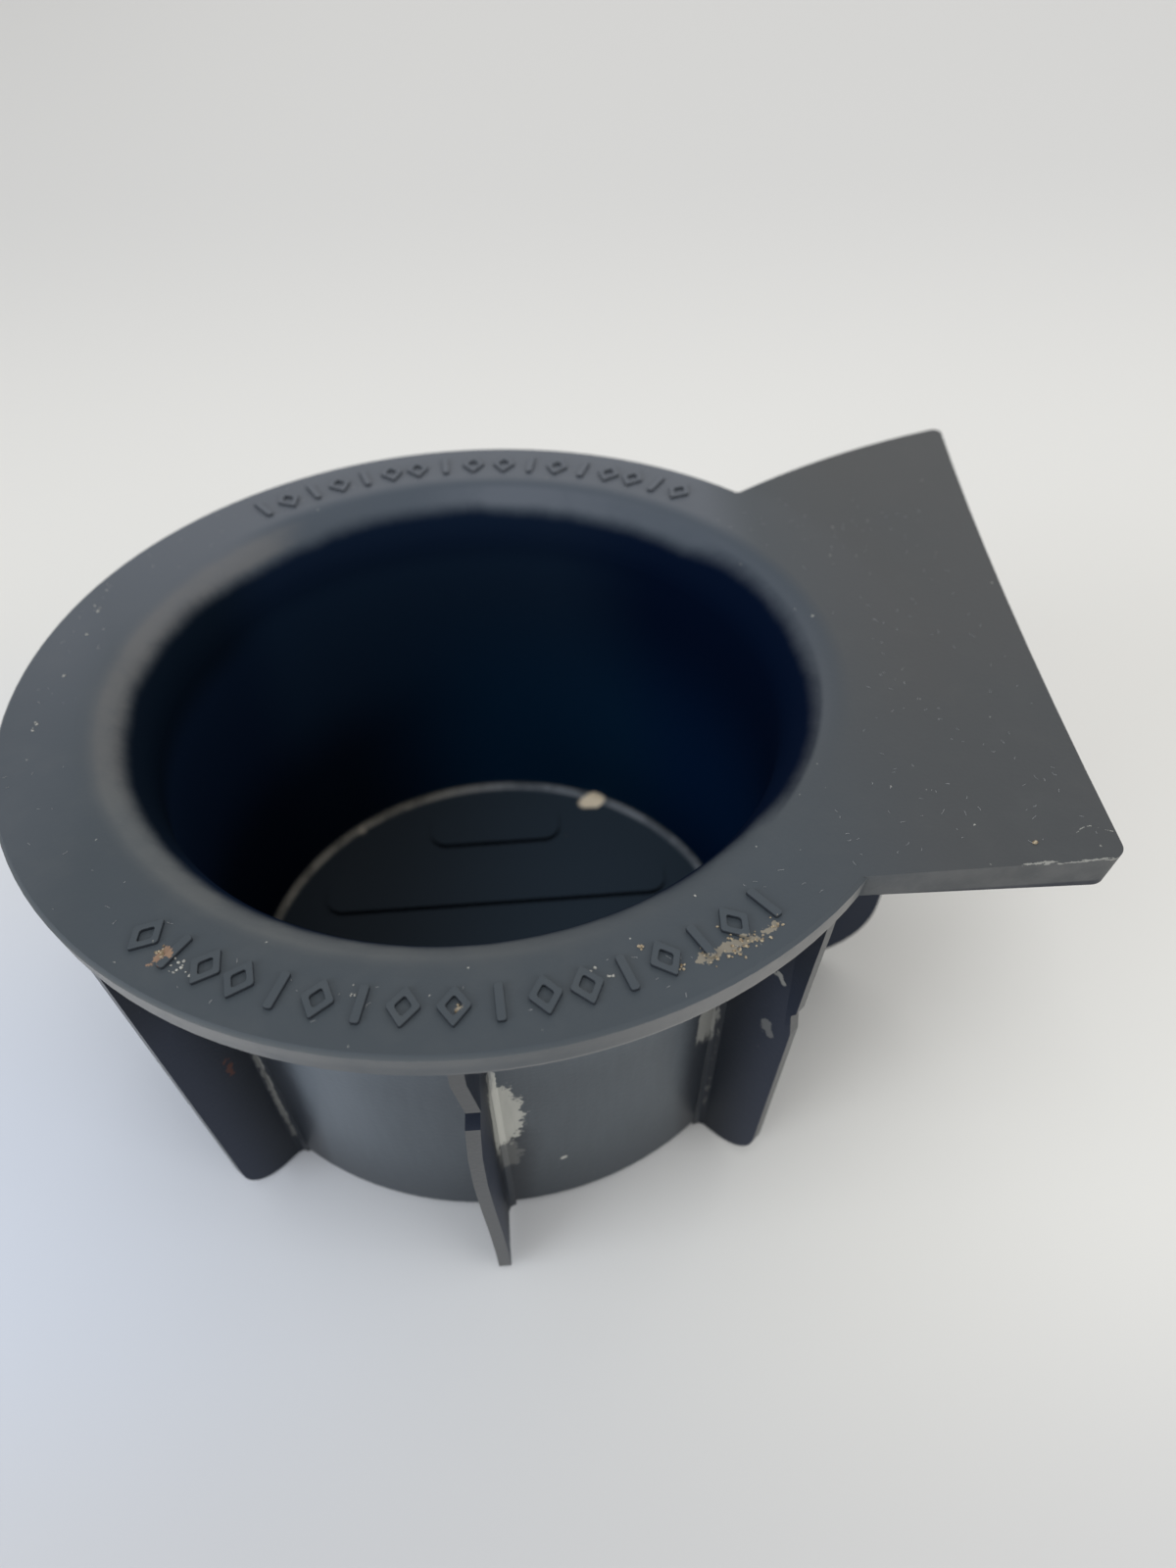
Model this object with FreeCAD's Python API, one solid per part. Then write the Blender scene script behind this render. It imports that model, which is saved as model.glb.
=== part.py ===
import FreeCAD, Part
import math
import os

# Rubber insert that narrows a vehicle's cup holder so that it grips a small cup.
# It is one moulding: a cup with a flat flange, a tab on one side of the flange,
# thin radial fins that centre the cup in the holder, and raised bars on its floor.
# Lengths are millimetres and angles are degrees. +Z is up, the origin is on the
# cup's axis at its foot, and the tab points along +X.

# Cup
overall_height = 53.2
outer_radius_neck = 39.6
outer_radius_foot = 36.8
bore_radius_mouth = 35.3
bore_radius_floor = 33.2
floor_thickness = 2.6
lip_round = 7.0
floor_round = 1.2
foot_round = 2.0
neck_chamfer = 1.0

# Flange
flange_radius = 50.0
flange_thickness = 3.3
edge_draft = 0.5
edge_chamfer = 0.4

# Tab, which grows out of the flange and thickens slightly towards its end
tab_front_side = 34.0
tab_back_root_side = 34.2
tab_front_reach = 61.2
tab_back_reach = 67.7
tab_back_side = 48.6
tab_back_bulge = 1.35
tab_end_hollow = 0.95
tab_end_thickness = 4.2
tab_front_corner_round = 1.8
tab_back_corner_round = 1.0

# Fins, at angles from the tab's axis
fin_thickness = 1.4
fin_setback = 0.15
fin_taper = 4.9
fin_corner_round = 5.5
fin_foot_height = 0.9
fin_root_round = 0.9
sound_crease_share = 0.41842
sound_fin_angles = (-133.7, 47.5, 90.0, 133.7, 180.0)
torn_fin_angle = -90.0
notched_fin_angle = -47.5

# Rib under the tab
rib_angle = -3.0
rib_foot_reach = 51.0
rib_top_reach = 55.6
rib_corner_round = 12.0
rib_crease_share = 0.42771

# Both damaged fins hang straight just under the flange
straight_under_flange = 2.4

# Torn fin: split across below the flange and bowed to one side, with a root that leans
# the same way. The stub above the split leans too
split_height = 38.6
split_gap = 3.6
split_depth = 2.2
foot_bow = 1.4
foot_bow_period = 54.0
root_shift_foot = 0.4
root_shift_top = 0.75
stub_lean = 1.3
torn_crease_share = 0.15819
torn_corner_round = 1.3

# Notched fin: a shallow nick in its free edge, creased over at the nick's upper end
nick_height = 30.4
nick_length = 4.4
nick_depth = 0.55
notched_crease_share = 0.68362
crease_lean = 0.6

# Raised bars on the cup's floor
bar_width = 7.0
bar_pitch = 12.0
bar_height = 0.8
bar_field_radius = 29.2
bar_corner_round = 2.5

# Worked out from the sizes above
flange_underside = overall_height - flange_thickness
fin_top = flange_underside + flange_thickness / 4
fin_top_reach = flange_radius - edge_draft - fin_setback
fin_foot_reach = fin_top_reach - fin_taper
foot_facet = foot_round * (1 - math.sqrt(0.5))
floor_facet = floor_round * (1 - math.sqrt(0.5))
spare = 1.5

UP = FreeCAD.Vector(0, 0, 1)
ORIGIN = FreeCAD.Vector(0, 0, 0)


def side_point(radius, height):
    """A point of a side view, which is drawn over the tab's axis."""
    return FreeCAD.Vector(radius, 0, height)


def outer_radius(height):
    """Radius of the cup's outer wall at a height."""
    return outer_radius_foot + (outer_radius_neck - outer_radius_foot) * height / flange_underside


def bore_radius(height):
    """Radius of the cup's inner wall at a height."""
    rise = (height - floor_thickness) / (overall_height - floor_thickness)
    return bore_radius_floor + (bore_radius_mouth - bore_radius_floor) * rise


def turned(shape, angle):
    """A copy of the shape, turned about the cup's axis."""
    copy = shape.copy()
    copy.rotate(ORIGIN, UP, angle)
    return copy


def rounded_face(corners):
    """Flat face from (corner, rounding) pairs, with straight sides between the rounded corners."""
    count = len(corners)
    edges = []
    joints = []
    for index, (corner, rounding) in enumerate(corners):
        back = (corners[index - 1][0] - corner).normalize()
        ahead = (corners[(index + 1) % count][0] - corner).normalize()
        half_angle = back.getAngle(ahead) / 2
        run = rounding / math.tan(half_angle)
        joints.append((corner + back * run, corner + ahead * run))
        if rounding > 0:
            inward = (back + ahead).normalize()
            middle = corner + inward * (rounding / math.sin(half_angle) - rounding)
            edges.append(Part.Arc(joints[-1][0], middle, joints[-1][1]).toShape())
    for index in range(count):
        edges.append(Part.makeLine(joints[index][1], joints[(index + 1) % count][0]))
    return Part.Face(Part.Wire(Part.__sortEdges__(edges)))


def blank():
    """The outside of the cup with its flange, solid for now, turned from one section."""
    neck_start = flange_underside - neck_chamfer
    section = rounded_face([
        (side_point(0, 0), 0),
        (side_point(outer_radius_foot - foot_round, 0), 0),
        (side_point(outer_radius_foot - foot_facet, foot_facet), 0),
        (side_point(outer_radius(foot_round), foot_round), 0),
        (side_point(outer_radius(neck_start), neck_start), 0),
        (side_point(outer_radius_neck + neck_chamfer, flange_underside), 0),
        (side_point(flange_radius - edge_draft, flange_underside), 0),
        (side_point(flange_radius, overall_height - edge_chamfer), 0),
        (side_point(flange_radius - edge_chamfer, overall_height), 0),
        (side_point(0, overall_height), 0),
    ])
    return section.revolve(ORIGIN, UP, 360)


def bore():
    """The space inside the cup, with the rolled lip at its mouth."""
    section = rounded_face([
        (side_point(0, floor_thickness), 0),
        (side_point(bore_radius_floor - floor_round, floor_thickness), 0),
        (side_point(bore_radius_floor - floor_facet, floor_thickness + floor_facet), 0),
        (side_point(bore_radius(floor_thickness + floor_round), floor_thickness + floor_round), 0),
        (side_point(bore_radius_mouth, overall_height), lip_round),
        (side_point(bore_radius_mouth + 2 * lip_round, overall_height), 0),
        (side_point(bore_radius_mouth + 2 * lip_round, overall_height + spare), 0),
        (side_point(0, overall_height + spare), 0),
    ])
    return section.revolve(ORIGIN, UP, 360)


def bow_middle(start, end, bow):
    """Middle of an arc between two plan points, standing off to the left of their chord."""
    along = (end[0] - start[0], end[1] - start[1])
    chord = math.hypot(*along)
    return (
        (start[0] + end[0]) / 2 - bow * along[1] / chord,
        (start[1] + end[1]) / 2 + bow * along[0] / chord,
    )


def tab_wire(inset, underside):
    """Outline of the tab on its top plane or its sloping underside, drawn in by inset."""
    tab_start = math.sqrt(flange_radius ** 2 - tab_front_side ** 2)
    slope = (tab_end_thickness - flange_thickness) / (tab_front_reach - tab_start)

    def place(plan):
        drop = flange_thickness + slope * (plan[0] - tab_start)
        return FreeCAD.Vector(plan[0], plan[1], overall_height - (drop if underside else 0))

    front = inset - tab_front_side
    back = tab_back_root_side - inset
    front_corner = (tab_front_reach - inset, front)
    back_corner = (tab_back_reach - inset, tab_back_side - inset)
    back_root = (math.sqrt(flange_radius ** 2 - tab_back_root_side ** 2), back)
    end_middle = bow_middle(front_corner, back_corner, tab_end_hollow)
    back_middle = bow_middle(back_corner, back_root, -tab_back_bulge)
    return Part.Wire([
        Part.makeLine(place((0, front)), place(front_corner)),
        Part.Arc(place(front_corner), place(end_middle), place(back_corner)).toShape(),
        Part.Arc(place(back_corner), place(back_middle), place(back_root)).toShape(),
        Part.makeLine(place(back_root), place((0, back))),
        Part.makeLine(place((0, back)), place((0, front))),
    ])


def tab():
    """The tab, with draft on its sides and rounded outer corners."""
    block = Part.makeLoft([tab_wire(edge_draft, True), tab_wire(0, False)], True, True)
    corners = (
        (tab_front_reach, -tab_front_side, tab_front_corner_round),
        (tab_back_reach, tab_back_side, tab_back_corner_round),
    )
    for x, y, rounding in corners:
        upright = [edge for edge in block.Edges if abs(edge.tangentAt(edge.FirstParameter).z) > 0.5]
        corner_edge = min(
            upright,
            key=lambda edge: math.hypot(edge.CenterOfMass.x - x, edge.CenterOfMass.y - y),
        )
        block = block.makeFillet(rounding, [corner_edge])
    return block


def fin_outline(foot_reach, top_reach, corner_round, foot_height=0.0, nicks=()):
    """Side view of a fin, from inside the cup out to its free edge.

    The nicks are (height, depth) points of that edge, from the lowest up.
    """
    def on_edge(height, depth=0.0):
        reach = foot_reach + (top_reach - foot_reach) * height / flange_underside
        return side_point(reach - depth, height)

    corners = [
        (side_point(0, foot_height), 0),
        (on_edge(foot_height), corner_round),
    ]
    corners += [(on_edge(height, depth), 0) for height, depth in nicks]
    corners += [(on_edge(fin_top), 0), (side_point(0, fin_top), 0)]
    return rounded_face(corners)


def fin_section(height, shift, sway, reach, crease_share):
    """Level section of a fin: flared at the cup's wall and straight to its crease.

    The root is shifted sideways and the free edge sways, each by its own distance. The
    crease stands upright at its share of the way from the flare's end out to the reach.
    """
    half = fin_thickness / 2
    wall = outer_radius(height)
    flare = fin_root_round
    hollow = flare * (1 - math.sqrt(0.5))
    flare_end = outer_radius_neck + flare
    crease = flare_end + crease_share * (reach - flare_end)

    def half_outline(side):
        plan = [
            (wall - spare, half + flare),
            (wall, half + flare),
            (wall + hollow, half + hollow),
            (wall + flare, half),
            (crease, half),
        ]
        corners = [FreeCAD.Vector(radius, shift + side * offset, height) for radius, offset in plan]
        return corners + [FreeCAD.Vector(reach, sway + side * half, height)]

    loop = half_outline(-1) + half_outline(1)[::-1]
    return Part.makePolygon(loop + [loop[0]])


def fin(outline, rows, reach, crease_share):
    """A wall lofted through (height, shift, sway) rows and trimmed to its side view."""
    sections = [fin_section(height, shift, sway, reach, crease_share) for height, shift, sway in rows]
    wall = Part.makeLoft(sections, True, True)
    trim = outline.extrude(FreeCAD.Vector(0, 2 * reach, 0))
    trim.translate(FreeCAD.Vector(0, -reach, 0))
    return wall.common(trim)


def sound_fin():
    outline = fin_outline(fin_foot_reach, fin_top_reach, fin_corner_round, fin_foot_height)
    return fin(outline, [(0, 0, 0), (fin_top, 0, 0)], flange_radius, sound_crease_share)


def rib():
    outline = fin_outline(rib_foot_reach, rib_top_reach, rib_corner_round)
    return fin(outline, [(0, 0, 0), (fin_top, 0, 0)], rib_top_reach + spare, rib_crease_share)


def torn_fin():
    """It bows to one side up to its split, and its stub leans out towards the flange."""
    split_top = split_height + split_gap
    nicks = [
        (split_height, 0),
        (split_height + split_gap / 8, split_depth),
        (split_top - split_gap / 8, split_depth),
        (split_top, 0),
    ]
    outline = fin_outline(fin_foot_reach, fin_top_reach, torn_corner_round, fin_foot_height, nicks)
    steps = 6
    rows = []
    for step in range(steps + 1):
        height = split_height * step / steps
        shift = root_shift_foot + (root_shift_top - root_shift_foot) * step / steps
        sway = foot_bow * (1 - math.cos(2 * math.pi * height / foot_bow_period)) / 2
        rows.append((height, -shift, -sway))
    rows.append((split_top, -root_shift_top, -stub_lean / 3))
    rows.append((flange_underside - straight_under_flange, -root_shift_top, -stub_lean))
    rows.append((fin_top, -root_shift_top, -stub_lean))
    return fin(outline, rows, fin_top_reach, torn_crease_share)


def notched_fin():
    """Straight but for a crease at the upper end of its nick."""
    nick_top = nick_height + nick_length
    nicks = [(nick_height, 0), (nick_top - nick_length / 4, nick_depth), (nick_top, 0)]
    outline = fin_outline(fin_foot_reach, fin_top_reach, fin_corner_round, fin_foot_height, nicks)
    rows = [
        (0, 0, 0),
        (nick_height, 0, 0),
        (nick_top, 0, -crease_lean),
        (flange_underside - straight_under_flange, 0, 0),
        (fin_top, 0, 0),
    ]
    return fin(outline, rows, fin_top_reach, notched_crease_share)


def floor_bars():
    """Rounded bars side by side, each as long as the round field on the floor lets it be."""
    bars = []
    each_side = int((bar_field_radius - bar_width / 2) / bar_pitch)
    for index in range(-each_side, each_side + 1):
        middle = index * bar_pitch
        far_side = abs(middle) + bar_width / 2
        half_length = math.sqrt(bar_field_radius ** 2 - far_side ** 2)
        rounding = min(bar_corner_round, 0.45 * bar_width, 0.9 * half_length)
        signs = ((-1, -1), (1, -1), (1, 1), (-1, 1))
        plan = [
            (FreeCAD.Vector(x * half_length, middle + y * bar_width / 2, floor_thickness / 2), rounding)
            for x, y in signs
        ]
        bars.append(rounded_face(plan).extrude(UP * (floor_thickness / 2 + bar_height)))
    return bars


def main():
    fins = [turned(sound_fin(), angle) for angle in sound_fin_angles]
    fins.append(turned(torn_fin(), torn_fin_angle))
    fins.append(turned(notched_fin(), notched_fin_angle))
    fins.append(turned(rib(), rib_angle))
    outside = blank().fuse([tab()]).fuse(fins)
    insert = outside.cut(bore()).fuse(floor_bars()).removeSplitter()
    if insert.ShapeType == "Compound" and len(insert.Solids) == 1:
        insert = insert.Solids[0]
    os.makedirs("parts", exist_ok=True)
    insert.exportStep("parts/cup_insert.step")
    print("solids", len(insert.Solids), "valid", insert.isValid(), "volume", round(insert.Volume, 1))


main()
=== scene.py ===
import bmesh
import bpy
import math
import random
from mathutils import Matrix, Vector


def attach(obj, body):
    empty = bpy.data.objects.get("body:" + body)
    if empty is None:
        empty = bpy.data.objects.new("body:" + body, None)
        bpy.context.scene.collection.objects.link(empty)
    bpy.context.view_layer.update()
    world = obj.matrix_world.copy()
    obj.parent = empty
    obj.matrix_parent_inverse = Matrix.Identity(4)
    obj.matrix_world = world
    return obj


# Looks of a rubber cup holder insert: matte slate rubber, dusty and worn, with raised
# marks on its rim and loose grit and lint on top. Lengths are metres unless a comment
# says millimetres, and the frame is the CAD model's.

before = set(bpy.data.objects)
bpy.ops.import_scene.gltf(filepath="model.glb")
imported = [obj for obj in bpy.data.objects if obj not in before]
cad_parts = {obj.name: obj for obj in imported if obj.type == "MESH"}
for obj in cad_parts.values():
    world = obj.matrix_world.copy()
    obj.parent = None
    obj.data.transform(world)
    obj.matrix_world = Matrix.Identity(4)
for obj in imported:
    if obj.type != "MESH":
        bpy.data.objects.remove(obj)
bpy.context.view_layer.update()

# Sizes of the CAD model that the looks follow
RIM_HEIGHT = 0.0532
WALL_FOOT_RADIUS = 0.0368
WALL_SLOPE = 0.0561

# Rubber of the rim and the tab, the dust on it, the painted sheen on its far side, the painted shade on the
# roll of the lip, dust with a painted highlight on the lip, and the pale edge, lighter on the left and
# right as painted light
RUBBER = (0.038, 0.047, 0.054)
SLATE = (0.042, 0.054, 0.066)
UMBER = (0.047, 0.050, 0.053)
DUST_AND_HIGHLIGHT = (0.140, 0.145, 0.142)
COOL_SHEEN_AND_DUST = (0.138, 0.150, 0.180)
WARM_DUST_AND_HIGHLIGHT = (0.158, 0.148, 0.136)
LIP_SHADE = (0.028, 0.043, 0.062)
EDGE = (0.240, 0.235, 0.228)

# Inside of the cup: its wall, lighter and darker from place to place as painted light and shade, its floor,
# with painted light on its right and painted shadow beside its bars, and the dirt there
NAVY = (0.0027, 0.0073, 0.0190)
SHADED_LEFT_NAVY = (0.0016, 0.0046, 0.0102)
SHADED_RIGHT_NAVY = (0.0006, 0.0038, 0.0148)
MID_NAVY = (0.0044, 0.0112, 0.0250)
SHADE_INK = (0.0005, 0.0011, 0.0030)
LIT_DEEP_NAVY = (0.0034, 0.0230, 0.0590)
LIT_RIGHT_DEEP = (0.0018, 0.0160, 0.0560)
PAD = (0.017, 0.022, 0.028)
LIT_BLUE_PAD = (0.032, 0.048, 0.068)
GUTTER = (0.240, 0.270, 0.310)
BROWN_GUTTER = (0.200, 0.190, 0.165)
CHIP = (0.95, 0.84, 0.66)
FLECK = (0.17, 0.105, 0.075)

# Outside of the cup: its wall, the painted shade beside the fins, at the wall's foot and on the sides of
# the raised marks, the fins and their free edges
WALL = (0.100, 0.120, 0.142)
PAINTED_SHADE = (0.008, 0.011, 0.017)
FIN = (0.020, 0.026, 0.043)
SCUFF = (0.070, 0.066, 0.062)

# Residue, sand and stains
CHALK = (0.48, 0.48, 0.44)
SAND = (0.42, 0.36, 0.26)
RUST = (0.13, 0.040, 0.018)
OCHRE = (0.30, 0.185, 0.115)

# Loose grit and lint, each with its darker shade
SAND_SHADE = (0.16, 0.11, 0.06)
CHALK_GRIT = (0.42, 0.42, 0.39)
CHALK_SHADE = (0.22, 0.22, 0.21)
LINT = (0.34, 0.35, 0.36)
LINT_SHADE = (0.20, 0.21, 0.22)

# Floor of the studio, with a painted cool shade on the left, painted shade far off and a painted shadow
# close by
PALE_FLOOR = (0.74, 0.735, 0.71)
COOL_SHADE_FLOOR = (0.60, 0.645, 0.735)
FAR_SHADE_FLOOR = (0.58, 0.58, 0.575)
NEAR_SHADOW_FLOOR = (0.55, 0.55, 0.555)

# Raised marks: groups of (first angle, last angle, count) in degrees, and half sizes
MARK_GROUPS = (
    (-129.0, -120.0, 3),
    (-115.6, -96.8, 5),
    (-91.4, -81.6, 3),
    (-77.0, -53.8, 6),
)
MARK_RING = 0.0451
MARK_HEIGHT = 0.00036
MARK_SUNK = 0.00010
LOZENGE_HALF_SIZES = (0.00215, 0.00155)
LOZENGE_HOLE_SHARE = 0.50
BAR_HALF_SIZES = (0.00195, 0.00042)
MARK_CORNER_ROUND = 0.00025
MARK_TOP_ROUND = 0.00010

# Grit on the rim and the tab: x, y, z, size, spread and count, in millimetres
SAND_CRUMBS = (
    (21.0, -41.8, 53.2, 0.15, 0.50, 12),
    (23.4, -41.1, 53.2, 0.17, 0.60, 18),
    (25.2, -40.2, 53.2, 0.15, 0.60, 14),
    (27.2, -38.7, 53.2, 0.13, 0.50, 9),
    (18.5, -43.0, 53.2, 0.15, 0.25, 6),
    (15.2, -40.5, 53.2, 0.17, 0.20, 3),
    (22.9, -38.5, 53.2, 0.12, 0.60, 7),
    (-0.5, -45.5, 53.2, 0.20, 0.22, 6),
    (-26.6, -37.5, 53.2, 0.17, 0.50, 10),
    (53.3, -31.4, 53.2, 0.24, 0.06, 2),
)
CHALK_CRUMBS = (
    (-25.2, -38.4, 53.2, 0.16, 0.60, 9),
    (-23.8, -39.6, 53.2, 0.20, 0.30, 4),
    (-9.6, -42.5, 53.2, 0.13, 0.50, 5),
    (10.8, -42.6, 53.2, 0.20, 0.35, 4),
    (9.9, -44.7, 53.2, 0.20, 0.15, 2),
    (12.4, -43.2, 53.2, 0.16, 0.30, 3),
    (21.3, -34.6, 53.0, 0.11, 0.25, 3),
    (-44.8, 3.3, 53.2, 0.20, 0.05, 1),
    (-43.9, 10.8, 53.2, 0.22, 0.15, 2),
    (-43.6, 16.0, 53.2, 0.16, 0.50, 5),
    (-46.0, -5.0, 53.2, 0.18, 0.45, 4),
)

# Lint: fibres that lie on the flat of the rim or on the tab
LINT_COUNT = 240
LINT_RADIUS = 0.000022
LINT_CLEARANCE = 0.00002
LINT_BEND = 0.9
LINT_FIELD = ((-0.048, 0.064), (-0.046, 0.044))
LINT_STEP = (0.00005, 0.00022)
RIM_FLAT = (0.0425, 0.0490)
TAB_FLAT_X = (0.036, 0.060)
TAB_FLAT_SIDE = 0.032

# Lamps: name, place, size, power and colour
LAMP_AIM = (0.0, 0.0, 0.03)
LAMPS = (
    ("top_lamp", (-0.05, -0.45, 1.25), (0.7, 0.7), 4.2, (1.0, 1.0, 1.0)),
    ("back_lamp", (0.35, 1.10, 0.70), (1.6, 0.8), 4.5, (1.0, 0.98, 0.95)),
    ("left_lamp", (-1.0, -0.55, 0.45), (0.8, 0.7), 8.0, (0.92, 0.96, 1.0)),
    ("right_lamp", (0.95, -0.65, 0.45), (0.8, 0.7), 5.0, (1.0, 0.99, 0.96)),
)
WORLD_STRENGTH = 0.55
FLOOR_HALF_SIZE = 3.0


class Wire:
    """A shader socket that adds its own Math nodes when it is used in a sum or a product."""

    def __init__(self, tree, socket):
        self.tree = tree
        self.socket = socket

    def math(self, operation, first, second):
        node = self.tree.nodes.new("ShaderNodeMath")
        node.operation = operation
        for slot, value in zip(node.inputs, (first, second)):
            join(self.tree, slot, value)
        return Wire(self.tree, node.outputs[0])

    def __add__(self, other):
        return self.math("ADD", self, other)

    def __sub__(self, other):
        return self.math("SUBTRACT", self, other)

    def __mul__(self, other):
        return self.math("MULTIPLY", self, other)

    def __truediv__(self, other):
        return self.math("DIVIDE", self, other)

    def __rsub__(self, other):
        return self.math("SUBTRACT", other, self)

    __radd__ = __add__
    __rmul__ = __mul__


def join(tree, slot, value):
    """Links a wire to a socket, or writes a plain value on it."""
    if isinstance(value, Wire):
        tree.links.new(value.socket, slot)
    else:
        slot.default_value = value


def millimetres(*values):
    return tuple(value / 1000.0 for value in values)


class Finish:
    """One material and the nodes that make its surface."""

    def __init__(self, name):
        self.material = bpy.data.materials.new(name)
        self.material.use_nodes = True
        self.tree = self.material.node_tree
        self.tree.nodes.clear()
        self.output = self.tree.nodes.new("ShaderNodeOutputMaterial")
        self.place = self.node("TexCoord", output="Object")
        split = self.node("SeparateXYZ", {"Vector": self.place}, output=None)
        self.x, self.y, self.z = (Wire(self.tree, socket) for socket in split.outputs)

    def node(self, kind, values=None, output=0, **settings):
        """Adds a node. Its settings come first, then the values or wires of its sockets."""
        node = self.tree.nodes.new("ShaderNode" + kind)
        for name, value in settings.items():
            setattr(node, name, value)
        for name, value in (values or {}).items():
            join(self.tree, node.inputs[name], value)
        return node if output is None else Wire(self.tree, node.outputs[output])

    def noise(self, size, detail, roughness, at=None, colour=False):
        """Noise whose features are about size metres across."""
        values = {"Vector": at or self.place, "Scale": 1.0 / size, "Detail": detail, "Roughness": roughness}
        return self.node("TexNoise", values, output="Color" if colour else "Fac")

    def step(self, value, low, high):
        """0 below low, 1 above high and smooth between them; with low above high it falls."""
        values = {"Value": value, "From Min": low, "From Max": high}
        return self.node("MapRange", values, interpolation_type="SMOOTHSTEP")

    def mix(self, factor, first, second):
        """Blends two colours."""
        node = self.node("Mix", output=None, data_type="RGBA", clamp_factor=True)
        join(self.tree, node.inputs[0], factor)
        for slot, value in zip((node.inputs[6], node.inputs[7]), (first, second)):
            join(self.tree, slot, (*value, 1.0) if isinstance(value, tuple) else value)
        return Wire(self.tree, node.outputs[2])

    def vector(self, operation, *values, output=0):
        node = self.node("VectorMath", output=None, operation=operation)
        for slot, value in zip(node.inputs, values):
            join(self.tree, slot, value)
        return Wire(self.tree, node.outputs[output])

    def most(self, *masks):
        """The strongest of several masks."""
        whole = masks[0]
        for mask in masks[1:]:
            whole = whole.math("MAXIMUM", whole, mask)
        return whole

    def surface(self, shader):
        """Ends the nodes with a shader and hands back the material."""
        self.tree.links.new(shader.socket, self.output.inputs["Surface"])
        return self.material


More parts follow.
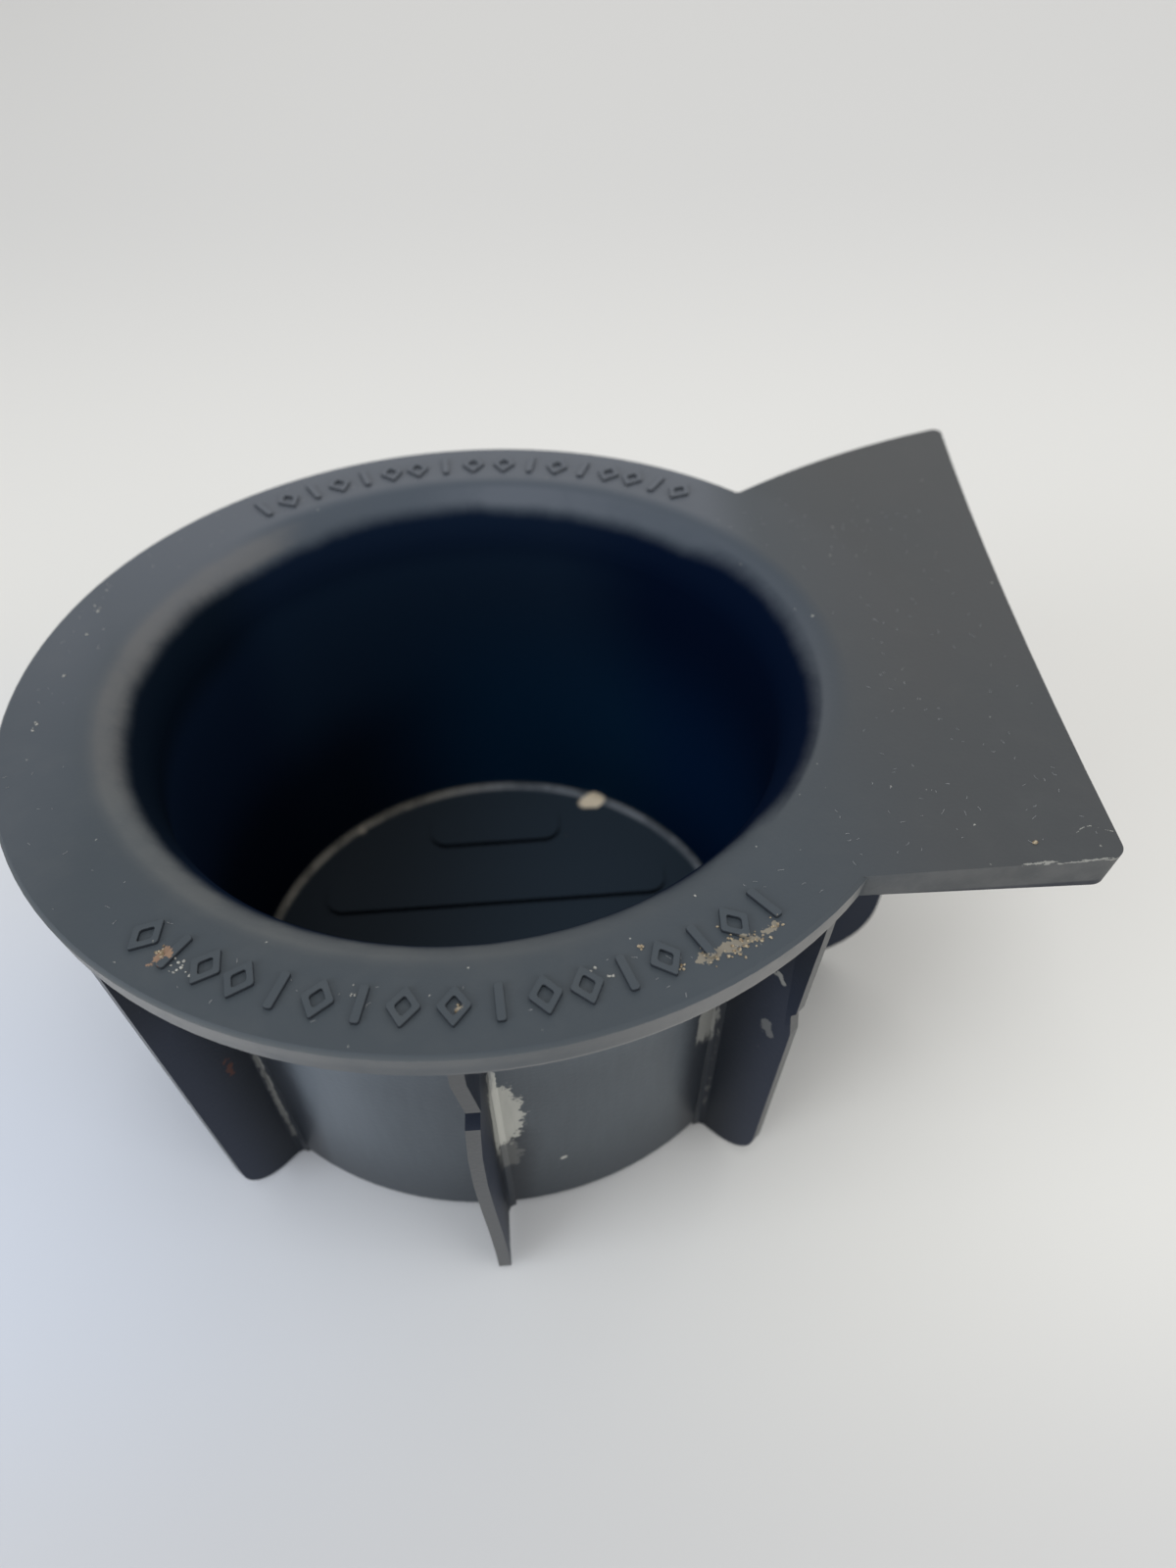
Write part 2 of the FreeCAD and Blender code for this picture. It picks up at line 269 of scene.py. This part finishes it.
class WornRubber(Finish):
    """Satin slate rubber: dull and dark inside, dusty on top, bloomed and stained where it is worn, with
    painted light, shade, sheen and highlights from place to place.

    The two numbers of a step are the places, heights or shares between which a mask rises,
    or falls when the first is the larger. Places of spots and streaks are in millimetres.
    """

    def __init__(self, name):
        super().__init__(name)
        x, y, z, step = self.x, self.y, self.z, self.step
        flat = self.node("CombineXYZ", {"X": x, "Y": y})
        self.ring = self.vector("LENGTH", flat, output="Value")
        self.off_wall = self.ring - (z * WALL_SLOPE + WALL_FOOT_RADIUS)
        facing = self.node("NewGeometry", output="Normal")
        self.upward = self.node("SeparateXYZ", {"Vector": facing}, output=2)
        outward = self.node("CombineXYZ", {"X": x / self.ring, "Y": y / self.ring})
        self.outward = self.vector("DOT_PRODUCT", outward, facing, output="Value")

        self.mottle = self.noise(0.0050, 5.0, 0.62)
        self.fine = self.noise(0.0007, 4.0, 0.7)
        upright = self.vector("MULTIPLY", self.place, (1.0, 1.0, 0.12))
        self.drawn = self.noise(0.0009, 3.0, 0.6, at=upright)
        ragged = self.noise(0.0016, 4.0, 0.65, colour=True)
        self.ragged = self.vector("SUBTRACT", ragged, (0.5, 0.5, 0.5))
        self.near = self.strayed(0.0012)
        self.torn = self.strayed(0.0036)

        self.top = step(self.upward, 0.55, 0.90)
        shaded = z + (self.mottle - 0.5) * 0.0008 - 0.0005 * step(x, 0.024, 0.032) * step(y, 0.004, -0.012)
        shaded = shaded - 0.0007 * step(x, 0.027, 0.033) - 0.0002 * step(x, -0.030, -0.034)
        lit_lip = self.most(step(x, -0.016, -0.021), step(x, 0.000, 0.008))
        shaded = shaded + 0.0003 * step(y, 0.018, 0.026) * lit_lip
        self.well = step(self.off_wall, -0.0003, -0.0009) * step(shaded, 0.0523, 0.0503)
        self.floor = step(z, 0.0040, 0.0037) * step(self.ring, 0.0345, 0.0338)
        self.under = step(z, 0.0500, 0.0496) * (1.0 - self.well) * (1.0 - self.floor)

    def strayed(self, reach):
        """The place, moved at random by up to half the reach."""
        return self.vector("ADD", self.place, self.vector("MULTIPLY", self.ragged, (reach,) * 3))

    def spot(self, centre, reach, at, soft=0.35):
        """Mask of a ragged spot about a point. Reach is one length, or one along each axis."""
        sizes = reach if isinstance(reach, tuple) else (reach,) * 3
        offset = self.vector("SUBTRACT", at, millimetres(*centre))
        offset = self.vector("DIVIDE", offset, millimetres(*sizes))
        distance = self.vector("LENGTH", offset, output="Value")
        return self.step(distance, 1.0, 1.0 - soft)

    def streak(self, start, end, width, at, soft=0.5):
        """Mask of a line between two points."""
        start, end, (width,) = millimetres(*start), millimetres(*end), millimetres(width)
        run = tuple(b - a for a, b in zip(start, end))
        square = sum(part * part for part in run)
        offset = self.vector("SUBTRACT", at, start)
        along = self.vector("DOT_PRODUCT", offset, run, output="Value") / square
        along = self.node("Clamp", {"Value": along})
        along = self.node("CombineXYZ", {"X": along, "Y": along, "Z": along})
        foot = self.vector("MULTIPLY", along, run)
        distance = self.vector("DISTANCE", offset, foot, output="Value")
        return self.step(distance, width, width * (1.0 - soft))

    def flaked(self, mask):
        """Breaks the soft edge of a mask into flakes."""
        return self.step(mask + (self.fine - 0.5) * 0.9, 0.40, 0.52)

    def rim_colour(self):
        """Rim, tab and lip, with dust on top, a painted sheen on the far side, painted shade on the roll of
        the lip, and dust with a painted highlight on the lip.
        """
        x, y, z, ring, step, mix = self.x, self.y, self.z, self.ring, self.step, self.mix
        cloud = self.noise(0.030, 3.0, 0.5)
        colour = mix(step(x, 0.026, 0.052), SLATE, UMBER)
        colour = mix(step(cloud, 0.38, 0.66) * 0.30, colour, RUBBER)
        colour = mix(step(self.mottle, 0.42, 0.74) * self.top * 0.08, colour, DUST_AND_HIGHLIGHT)
        # Painted sheen: the top of the rim is lightened with a cool tone on its far side and far left, much
        # less on the tab
        far_rim_sheen = self.most(step(y, -0.020, 0.045), step(x, -0.034, -0.046) * 0.7)
        off_tab = 1.0 - 0.9 * step(x, 0.030, 0.038)
        far_rim_sheen = far_rim_sheen * off_tab * (0.22 + 0.24 * step(y, -0.010, 0.015))
        colour = mix(far_rim_sheen * step(ring, 0.0530, 0.0500) * self.top, colour, COOL_SHEEN_AND_DUST)
        # Painted shade: a darker bluish band on the roll of the lip, mostly on the far side and the right
        lip = step(ring, 0.0425, 0.0402) * step(z, 0.0450, 0.0480) * step(x, -0.032, -0.022)
        colour = mix(lip * step(y, -0.030, 0.020) * 0.75, colour, LIP_SHADE)

        # Dust and a painted highlight on the lip just below the flat of the rim: warm on the left, cool on
        # the far right and grey on the near side
        lip_dust_and_highlight = step(z, 0.0508, 0.0519) * step(z, 0.05319, 0.0527)
        middle = step(x, -0.008, 0.004) * (1.0 - 0.7 * step(x, 0.008, 0.030))
        far_lip = 0.03 + 0.22 * middle + 0.27 * step(x, -0.020, -0.026)
        near_lip = step(y, -0.004, -0.016) * step(x, 0.030, -0.020) * 0.30
        share = self.most(far_lip * step(y, -0.030, -0.010), near_lip)
        share = share * (0.85 + 0.35 * step(self.mottle, 0.30, 0.60))
        far_dust_and_highlight = mix(step(x, -0.020, 0.0), WARM_DUST_AND_HIGHLIGHT, COOL_SHEEN_AND_DUST)
        return mix(lip_dust_and_highlight * share, colour, mix(step(y, -0.010, -0.020), far_dust_and_highlight, DUST_AND_HIGHLIGHT))

    def cup_colour(self):
        """Inside of the cup: dark blue wall, lighter and darker from place to place as painted light and
        shade, lighter floor with painted light on its right and painted shadow on the sides of its bars,
        and dirt round the floor, with a painted highlight, and on it.
        """
        x, z, ring, step, mix, near = self.x, self.z, self.ring, self.step, self.mix, self.near
        # Painted light and shade on the cup's wall: darker at the upper left, low on the left and on the
        # right, and lighter and bluer low down towards the right
        colour = mix(step(x, -0.024, -0.032) * step(z, 0.041, 0.046), NAVY, SHADED_LEFT_NAVY)
        colour = mix(step(z, 0.048, 0.043) * step(x, -0.031, -0.024), colour, MID_NAVY)
        colour = mix(step(z, 0.030, 0.016) * step(x, 0.004, -0.012) * 0.6, colour, SHADE_INK)
        colour = mix(step(x, 0.010, 0.026), colour, SHADED_RIGHT_NAVY)
        lit_deep = mix(step(x, 0.018, 0.030), LIT_DEEP_NAVY, LIT_RIGHT_DEEP)
        colour = mix(step(z, 0.042, 0.010) * step(x, -0.022, 0.005), colour, lit_deep)
        # Painted light: the floor of the cup is lighter and bluer on its right
        colour = mix(self.floor, colour, mix(step(x, -0.022, 0.018), PAD, LIT_BLUE_PAD))
        # Painted shadow: the sides of the bars on the floor are darkened
        colour = mix(self.floor * step(self.upward, 0.60, 0.30) * 0.9, colour, SHADE_INK)

        # A pale ring round the floor: dirt, with a painted highlight along the corner between floor and
        # wall
        gutter = step(z, 0.0026, 0.0029) * step(z, 0.0039, 0.0033) * step(ring, 0.0318, 0.0324)
        gutter = gutter * step(ring, 0.0343, 0.0334)
        gutter_colour = mix(step(x, -0.015, 0.010), BROWN_GUTTER, GUTTER)
        colour = mix(gutter * (0.50 + 0.45 * step(self.mottle, 0.40, 0.62)), colour, gutter_colour)

        chip = self.most(
            self.spot((15.2, 28.2, 3.2), (2.7, 1.5, 1.4), near, 0.3),
            self.spot((-20.6, 25.0, 3.2), 1.0, near, 0.6) * 0.15,
        )
        colour = mix(chip, colour, CHIP)
        flecks = self.most(
            self.spot((10.9, 21.9, 3.4), (0.9, 1.6, 0.8), near, 0.6),
            self.spot((-10.5, 15.0, 2.6), (1.6, 0.6, 0.6), near, 0.8),
            self.spot((1.2, 14.2, 2.6), 0.7, near, 0.8),
        )
        return mix(flecks * 0.6, colour, FLECK)

    def wall_colour(self, colour):
        """Outside of the cup: a pale bloomed tone with painted light, lighter on the left and fading
        downwards, and painted shade at the foot and beside the fins.
        """
        x, z, step, near = self.x, self.z, self.step, self.near
        wall = self.under * step(self.off_wall, 0.0008, 0.0003) * step(self.off_wall, -0.0012, -0.0006)
        # A pale bloomed tone, with painted light: lighter on the left, a little darker on the right, and
        # fading towards the foot
        bloom_and_light = 0.29 + 0.53 * step(x, -0.009, -0.018) - 0.05 * step(x, 0.004, 0.014)
        bloom_and_light = bloom_and_light * step(z, 0.000, 0.026) + 0.25 * step(z, 0.027, 0.034)
        bloom_and_light = bloom_and_light - 0.10 * step(self.drawn, 0.70, 0.30)
        colour = self.mix(wall * bloom_and_light, colour, WALL)
        # Painted shade on the outside wall: towards its foot and beside the fins
        hollow = self.most(
            wall * step(z, 0.016, 0.000) * 0.55,
            self.streak((-25.4, -28.9, 34.0), (-24.6, -27.9, 1.0), 6.8, near, 0.6) * wall,
            self.streak((24.8, -29.5, 34.0), (24.0, -28.5, 1.0), 5.5, near, 0.7) * wall,
            self.streak((1.4, -38.4, 18.0), (1.4, -37.2, 1.0), 4.2, near, 0.9) * wall,
        )
        return self.mix(hollow * 0.85, colour, PAINTED_SHADE)

    def edge_colour(self, colour):
        """Pale bloomed edge of the flange, lighter on the left and the right as painted light, with a
        lighter line along its lower corner; painted shadow on the sides of the raised marks; and the side
        of the tab.
        """
        x, z, upward, step, mix = self.x, self.z, self.upward, self.step, self.mix
        edge = step(self.ring, 0.0490, 0.0494) * step(z, 0.0496, 0.0500) * step(upward, 0.60, 0.20)
        edge = edge * step(x, 0.0372, 0.0345)
        # A pale bloomed tone on the edge, with painted light that makes it lighter on the left and the
        # right
        edge_bloom_and_light = 0.24 + 0.60 * step(x, -0.005, -0.033) + 0.46 * step(x, 0.006, 0.026)
        edge_bloom_and_light = edge_bloom_and_light - 0.38 * step(x, -0.034, -0.038)
        colour = mix(edge * edge_bloom_and_light * (0.75 + 0.25 * step(self.mottle, 0.35, 0.60)), colour, EDGE)
        brim = step(z, 0.05025, 0.05005) * edge * step(x, -0.005, 0.005)
        colour = mix(brim * 0.45, colour, EDGE)
        # Painted shadow: the sides of the raised marks are darkened
        mark_shadow = step(z, 0.05317, 0.05322) * step(upward, 0.90, 0.60)
        colour = mix(mark_shadow * 0.80, colour, PAINTED_SHADE)
        tab_side = step(x, 0.0366, 0.0370) * step(z, 0.0485, 0.0489) * step(upward, 0.50, 0.20)
        share = 0.10 + 0.14 * step(self.mottle, 0.35, 0.65)
        return mix(tab_side * (1.0 - edge) * share, colour, EDGE)

    def specks(self):
        """Mask of fine pale specks, most of them on top."""
        sizes = []
        for cells, size, share in ((270.0, 0.055, 0.82), (620.0, 0.080, 0.84)):
            node = self.node("TexVoronoi", {"Vector": self.near, "Scale": cells}, output=None)
            chances = Wire(self.tree, node.outputs["Color"])
            luck = self.node("SeparateColor", {"Color": chances})
            distance = Wire(self.tree, node.outputs["Distance"])
            sizes.append(self.step(distance, size, size * 0.5) * self.step(luck, share, share + 0.03))
        return self.most(*sizes) * (0.10 + 0.50 * self.top) * (1.0 - self.well)

    def residue(self):
        """Mask of the chalky residue: a patch and a film beside the torn fin, another patch
        beside the fin to its right, and scuffs on the fins' edges and on the tab."""
        step, spot, streak = self.step, self.spot, self.streak
        near, torn, fine, drawn = self.near, self.torn, self.fine, self.drawn
        right_of_fin = step(self.x, -0.0008, -0.0005)
        belly = spot((0.7, -38.2, 23.3), (4.9, 4.0, 12.2), torn, 1.0)
        neck = streak((0.2, -38.9, 33.0), (0.5, -38.2, 20.0), 1.3, near, 1.0)
        neck_share = 0.30 + 0.60 * step(drawn, 0.35, 0.60)
        film = spot((1.1, -37.7, 14.8), (2.6, 3.0, 6.5), torn, 1.0)
        root_left = spot((24.1, -29.7, 25.2), (3.6, 3.6, 9.0), torn, 1.0)
        blob = spot((29.5, -33.3, 28.8), (1.3, 1.3, 3.2), torn, 1.0)
        tab_front = streak((51.3, -33.95, 53.2), (61.0, -33.9, 53.2), 0.3, near, 1.0)
        return self.most(
            self.flaked(belly) * right_of_fin * (0.72 + 0.40 * drawn),
            step(neck + (drawn - 0.5) * 0.9, 0.40, 0.52) * right_of_fin * neck_share,
            self.flaked(film) * right_of_fin * 0.18,
            step(root_left * drawn, 0.24, 0.36) * 0.40,
            step(blob * (drawn + fine), 0.52, 0.64) * 0.40,
            streak((-0.1, -40.2, 31.0), (0.1, -39.3, 22.0), 0.22, near) * 0.9,
            streak((25.9, -28.9, 30.0), (24.9, -28.2, 6.0), 0.3, near) * 0.25,
            streak((-26.2, -28.6, 28.0), (-25.3, -27.6, 5.0), 0.4, near) * drawn * 0.8,
            spot((7.2, -36.8, 11.0), (0.55, 0.6, 0.26), near, 0.2),
            streak((29.0, -32.8, 38.8), (30.0, -33.8, 38.6), 0.35, near) * 0.8,
            streak((29.9, -33.7, 39.0), (30.4, -34.2, 37.7), 0.4, near) * 0.9,
            step(tab_front * fine, 0.26, 0.40) * 0.45,
            streak((57.5, -30.4, 53.2), (59.2, -29.6, 53.2), 0.09, near, 0.6) * 0.5,
            streak((59.2, -29.6, 53.2), (60.9, -30.7, 53.2), 0.09, near, 0.6) * 0.5,
        )

    def sand(self):
        """Mask of the sandy crust on the near right of the rim, and of one grain beside it."""
        crust = self.most(
            self.streak((20.2, -41.9, 53.2), (25.0, -40.1, 53.2), 0.9, self.torn, 1.0),
            self.streak((25.0, -40.1, 53.2), (27.4, -38.6, 53.2), 0.7, self.torn, 1.0),
        )
        grain = self.spot((-0.5, -45.4, 53.2), 0.5, self.near) * 0.8
        return self.most(self.flaked(crust) * 0.42, grain)

    def rust(self):
        """Mask of the stain on the left fin and of the smear on the rim near it."""
        stain = self.streak((-28.6, -30.9, 26.2), (-28.2, -30.5, 23.6), 0.9, self.torn, 1.0)
        smear = self.spot((-26.7, -37.7, 53.2), (1.6, 2.2, 2.0), self.torn, 1.0)
        return self.most(self.flaked(stain), self.flaked(smear) * 0.9)

    def dressed(self):
        """Lays the layers over each other: satin rubber, with a dull shader for the cup's inside."""
        z, off_wall, under, well = self.z, self.off_wall, self.under, self.well
        outward, mottle, step, mix = self.outward, self.mottle, self.step, self.mix
        fin_face = step(off_wall, 0.0001, 0.0004) * under * step(outward, 0.97, 0.85)
        fin_shade = self.most(step(off_wall, 0.0080, 0.0012), 0.6 * step(z, 0.034, 0.044))
        fin_colour = mix(fin_shade, FIN, PAINTED_SHADE)
        fin_edge = step(self.ring, 0.0420, 0.0424) * under * step(outward, 0.60, 0.85)
        specks, residue, sand = self.specks(), self.residue(), self.sand()

        dark = mix(fin_face, self.cup_colour(), fin_colour)
        colour = mix(fin_face, self.wall_colour(self.rim_colour()), fin_colour)
        colour = self.edge_colour(mix(fin_edge * 0.60, colour, SCUFF))
        colour = mix(residue, mix(specks, colour, CHALK), CHALK)
        colour = mix(self.rust() * 0.85, mix(sand, colour, SAND), mix(self.top, RUST, OCHRE))

        grain = self.noise(0.00045, 2.0, 0.5)
        relief = grain * 0.30 + mottle * 0.20 + residue * 0.35 + specks * 0.40 + sand * 0.5
        bump = self.node("Bump", {"Strength": 0.30, "Distance": 0.00025, "Height": relief})
        smooth = under * 0.22 - 0.06 * step(mottle, 0.40, 0.70) * (1.0 - under)
        roughness = 0.62 - smooth + 0.25 * residue
        satin = {"Base Color": colour, "Roughness": roughness, "Normal": bump, "Specular IOR Level": 0.38}
        dull = {"Base Color": dark, "Roughness": 0.7, "Normal": bump, "Specular IOR Level": 0.02}
        blend = self.node("MixShader", {"Fac": self.most(well, fin_face * 0.45)}, output=None)
        for slot, values in zip(blend.inputs[1:], (satin, dull)):
            join(self.tree, slot, self.node("BsdfPrincipled", values))
        return self.surface(Wire(self.tree, blend.outputs[0]))


def gritty(name, light, dark):
    """Dry grit or lint: two shades in a fine grain."""
    finish = Finish(name)
    grain = finish.noise(0.00025, 3.0, 0.6)
    colour = finish.mix(finish.step(grain, 0.35, 0.65), dark, light)
    bump = finish.node("Bump", {"Strength": 0.5, "Distance": 0.0001, "Height": grain})
    values = {"Base Color": colour, "Roughness": 0.9, "Normal": bump}
    return finish.surface(finish.node("BsdfPrincipled", values))


def pale_floor():
    """Pale floor of the studio, with a painted cool shade on the left, painted shade far off and a painted
    shadow close by.
    """
    finish = Finish("pale_floor")
    x, y, step, mix = finish.x, finish.y, finish.step, finish.mix
    # Painted cool shade on the left, painted shade far off and a painted shadow close by
    colour = mix(step(x, 0.05, -0.07) * step(y, 0.10, -0.03), PALE_FLOOR, COOL_SHADE_FLOOR)
    colour = mix(step(y, 0.02, 0.35) * 0.85, colour, FAR_SHADE_FLOOR)
    colour = mix(step(y, -0.040, -0.085) * 0.7, colour, NEAR_SHADOW_FLOOR)
    return finish.surface(finish.node("BsdfPrincipled", {"Base Color": colour, "Roughness": 0.6}))


def placed(name, data):
    """A new object of the scene that holds the data."""
    thing = bpy.data.objects.new(name, data)
    bpy.context.scene.collection.objects.link(thing)
    return thing


def finished_piece(name, mesh):
    data = bpy.data.meshes.new(name)
    mesh.to_mesh(data)
    mesh.free()
    return placed(name, data)


def raised_mark(mesh, angle, hollow):
    """One mark on the rim: a hollow lozenge or a solid bar, with rounded corners and soft edges."""
    half_sizes = (*(LOZENGE_HALF_SIZES if hollow else BAR_HALF_SIZES), 1.0)
    old_verts = set(mesh.verts)

    def own_verts():
        return [vert for vert in mesh.verts if vert not in old_verts]

    if hollow:
        for share in (1.0, LOZENGE_HOLE_SHARE):
            circle = bmesh.ops.create_circle(mesh, segments=4, radius=share)["verts"]
            bmesh.ops.scale(mesh, vec=half_sizes, verts=circle)
        rings = [edge for vert in own_verts() for edge in vert.link_edges]
        faces = bmesh.ops.bridge_loops(mesh, edges=list(set(rings)))["faces"]
    else:
        bmesh.ops.create_grid(mesh, x_segments=1, y_segments=1, size=1.0)
        verts = own_verts()
        bmesh.ops.scale(mesh, vec=half_sizes, verts=verts)
        faces = list(verts[0].link_faces)
    made = bmesh.ops.extrude_face_region(mesh, geom=faces)["geom"]
    top = [item for item in made if isinstance(item, bmesh.types.BMVert)]
    bmesh.ops.translate(mesh, vec=(0.0, 0.0, MARK_HEIGHT + MARK_SUNK), verts=top)
    corners = [edge for vert in top for edge in vert.link_edges if edge.other_vert(vert) not in top]
    bmesh.ops.bevel(
        mesh, geom=corners, offset=MARK_CORNER_ROUND,
        segments=3, profile=0.5, affect="EDGES", material=-1,
    )
    level = [edge for vert in own_verts() for edge in vert.link_edges if vert.co.z > MARK_HEIGHT]
    brim = {edge for edge in level if min(vert.co.z for vert in edge.verts) > MARK_HEIGHT and
            any(abs(face.normal.z) < 0.5 for face in edge.link_faces)}
    bmesh.ops.bevel(
        mesh, geom=list(brim), offset=MARK_TOP_ROUND,
        segments=2, profile=0.5, affect="EDGES", material=-1,
    )
    out = Matrix.Translation((MARK_RING, 0.0, RIM_HEIGHT - MARK_SUNK))
    bmesh.ops.transform(mesh, matrix=Matrix.Rotation(angle, 4, "Z") @ out, verts=own_verts())


def raised_marks(name, turn):
    """A band of lozenges and bars along one side of the rim."""
    mesh = bmesh.new()
    for start, end, count in MARK_GROUPS:
        for index in range(count):
            angle = start + (end - start) * index / (count - 1)
            raised_mark(mesh, math.radians(angle + turn), index % 2 == 0)
    bmesh.ops.recalc_face_normals(mesh, faces=mesh.faces)
    return finished_piece(name, mesh)


def crumbs(name, places):
    """Little lumps of grit, scattered about each place."""
    chance = random.Random(name)
    mesh = bmesh.new()
    for x, y, z, size, spread, count in places:
        for _ in range(count):
            lump = bmesh.ops.create_icosphere(mesh, subdivisions=2, radius=1.0)["verts"]
            for vert in lump:
                vert.co *= chance.uniform(0.75, 1.15)
            scale = size * chance.uniform(0.5, 1.1)
            stretch = (scale * chance.uniform(0.8, 1.5), scale * chance.uniform(0.7, 1.1), scale * 0.6)
            bmesh.ops.scale(mesh, vec=millimetres(*stretch), verts=lump)
            turn = Matrix.Rotation(chance.uniform(0.0, math.tau), 3, "Z")
            bmesh.ops.rotate(mesh, cent=(0.0, 0.0, 0.0), matrix=turn, verts=lump)
            shift = (x + chance.gauss(0.0, spread), y + chance.gauss(0.0, spread), z + 0.2 * scale)
            bmesh.ops.translate(mesh, vec=millimetres(*shift), verts=lump)
    for face in mesh.faces:
        face.smooth = True
    return finished_piece(name, mesh)


def lint(name, count):
    """Short bent fibres lying on the rim and the tab."""
    chance = random.Random(name)
    curve = bpy.data.curves.new(name, "CURVE")
    curve.dimensions = "3D"
    curve.bevel_depth = LINT_RADIUS
    curve.bevel_resolution = 0
    curve.resolution_u = 3
    made = 0
    while made < count:
        x, y = chance.uniform(*LINT_FIELD[0]), chance.uniform(*LINT_FIELD[1])
        ring = math.hypot(x, y)
        on_tab = TAB_FLAT_X[0] < x < TAB_FLAT_X[1] and abs(y) < TAB_FLAT_SIDE
        if ring < RIM_FLAT[0] or ring > RIM_FLAT[1] and not on_tab:
            continue
        heading = chance.uniform(0.0, math.tau)
        length = chance.uniform(*LINT_STEP)
        spline = curve.splines.new("NURBS")
        spline.points.add(3)
        for point in spline.points:
            point.co = (x, y, RIM_HEIGHT + LINT_CLEARANCE, 1.0)
            x += length * math.cos(heading)
            y += length * math.sin(heading)
            heading += chance.uniform(-LINT_BEND, LINT_BEND)
        spline.order_u = 3
        spline.use_endpoint_u = True
        made += 1
    source = bpy.data.objects.new(name + "_line", curve)
    data = bpy.data.meshes.new_from_object(source)
    data.name = name
    bpy.data.objects.remove(source)
    return placed(name, data)


def build_camera():
    """The photograph's own view: a wide lens, low over the rim and tipped down."""
    place = Vector((0.00722, -0.10332, 0.13489))
    forward = Vector((0.0415, 0.7157, -0.6972)).normalized()
    level = forward.cross(Vector((0.0, 0.0, 1.0))).normalized()
    upright = level.cross(forward)
    roll = math.radians(-1.5)
    right = level * math.cos(roll) + upright * math.sin(roll)
    up = upright * math.cos(roll) - level * math.sin(roll)
    data = bpy.data.cameras.new("camera")
    data.lens = 27.0
    data.sensor_width = 36.0
    data.clip_start = 0.005
    data.dof.use_dof = True
    data.dof.focus_distance = 0.110
    data.dof.aperture_fstop = 20.0
    camera = placed("camera", data)
    camera.matrix_world = Matrix((
        (right.x, up.x, -forward.x, place.x),
        (right.y, up.y, -forward.y, place.y),
        (right.z, up.z, -forward.z, place.z),
        (0.0, 0.0, 0.0, 1.0),
    ))
    bpy.context.scene.camera = camera


def area_lamp(name, place, size, power, colour):
    data = bpy.data.lights.new(name, "AREA")
    data.shape = "RECTANGLE"
    data.size, data.size_y = size
    data.energy = power
    data.color = colour
    lamp = placed(name, data)
    lamp.location = place
    lamp.rotation_euler = (Vector(LAMP_AIM) - Vector(place)).to_track_quat("-Z", "Y").to_euler()


def build_studio():
    """Pale floor, soft lamps and a plain world."""
    mesh = bmesh.new()
    bmesh.ops.create_grid(mesh, x_segments=2, y_segments=2, size=FLOOR_HALF_SIZE)
    floor = finished_piece("floor", mesh)
    floor.data.materials.append(pale_floor())

    for lamp in LAMPS:
        area_lamp(*lamp)

    world = bpy.data.worlds.new("studio")
    bpy.context.scene.world = world
    world.use_nodes = True
    background = world.node_tree.nodes["Background"]
    background.inputs["Color"].default_value = (1.0, 1.0, 1.0, 1.0)
    background.inputs["Strength"].default_value = WORLD_STRENGTH
    bpy.context.scene.view_settings.view_transform = "Standard"


rubber = WornRubber("worn_rubber").dressed()
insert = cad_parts["cup_insert"]
insert.data.materials.clear()
insert.data.materials.append(rubber)

for name, turn in (("near_marks", 0.0), ("far_marks", 180.0)):
    marks = raised_marks(name, turn)
    marks.data.materials.append(rubber)
    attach(marks, "root")

for name, places, light, dark in (
    ("sand_crumbs", SAND_CRUMBS, SAND, SAND_SHADE),
    ("chalk_crumbs", CHALK_CRUMBS, CHALK_GRIT, CHALK_SHADE),
):
    grit = crumbs(name, places)
    grit.data.materials.append(gritty(name, light, dark))
    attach(grit, "root")
fibres = lint("lint", LINT_COUNT)
fibres.data.materials.append(gritty("lint", LINT, LINT_SHADE))
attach(fibres, "root")

build_camera()
build_studio()
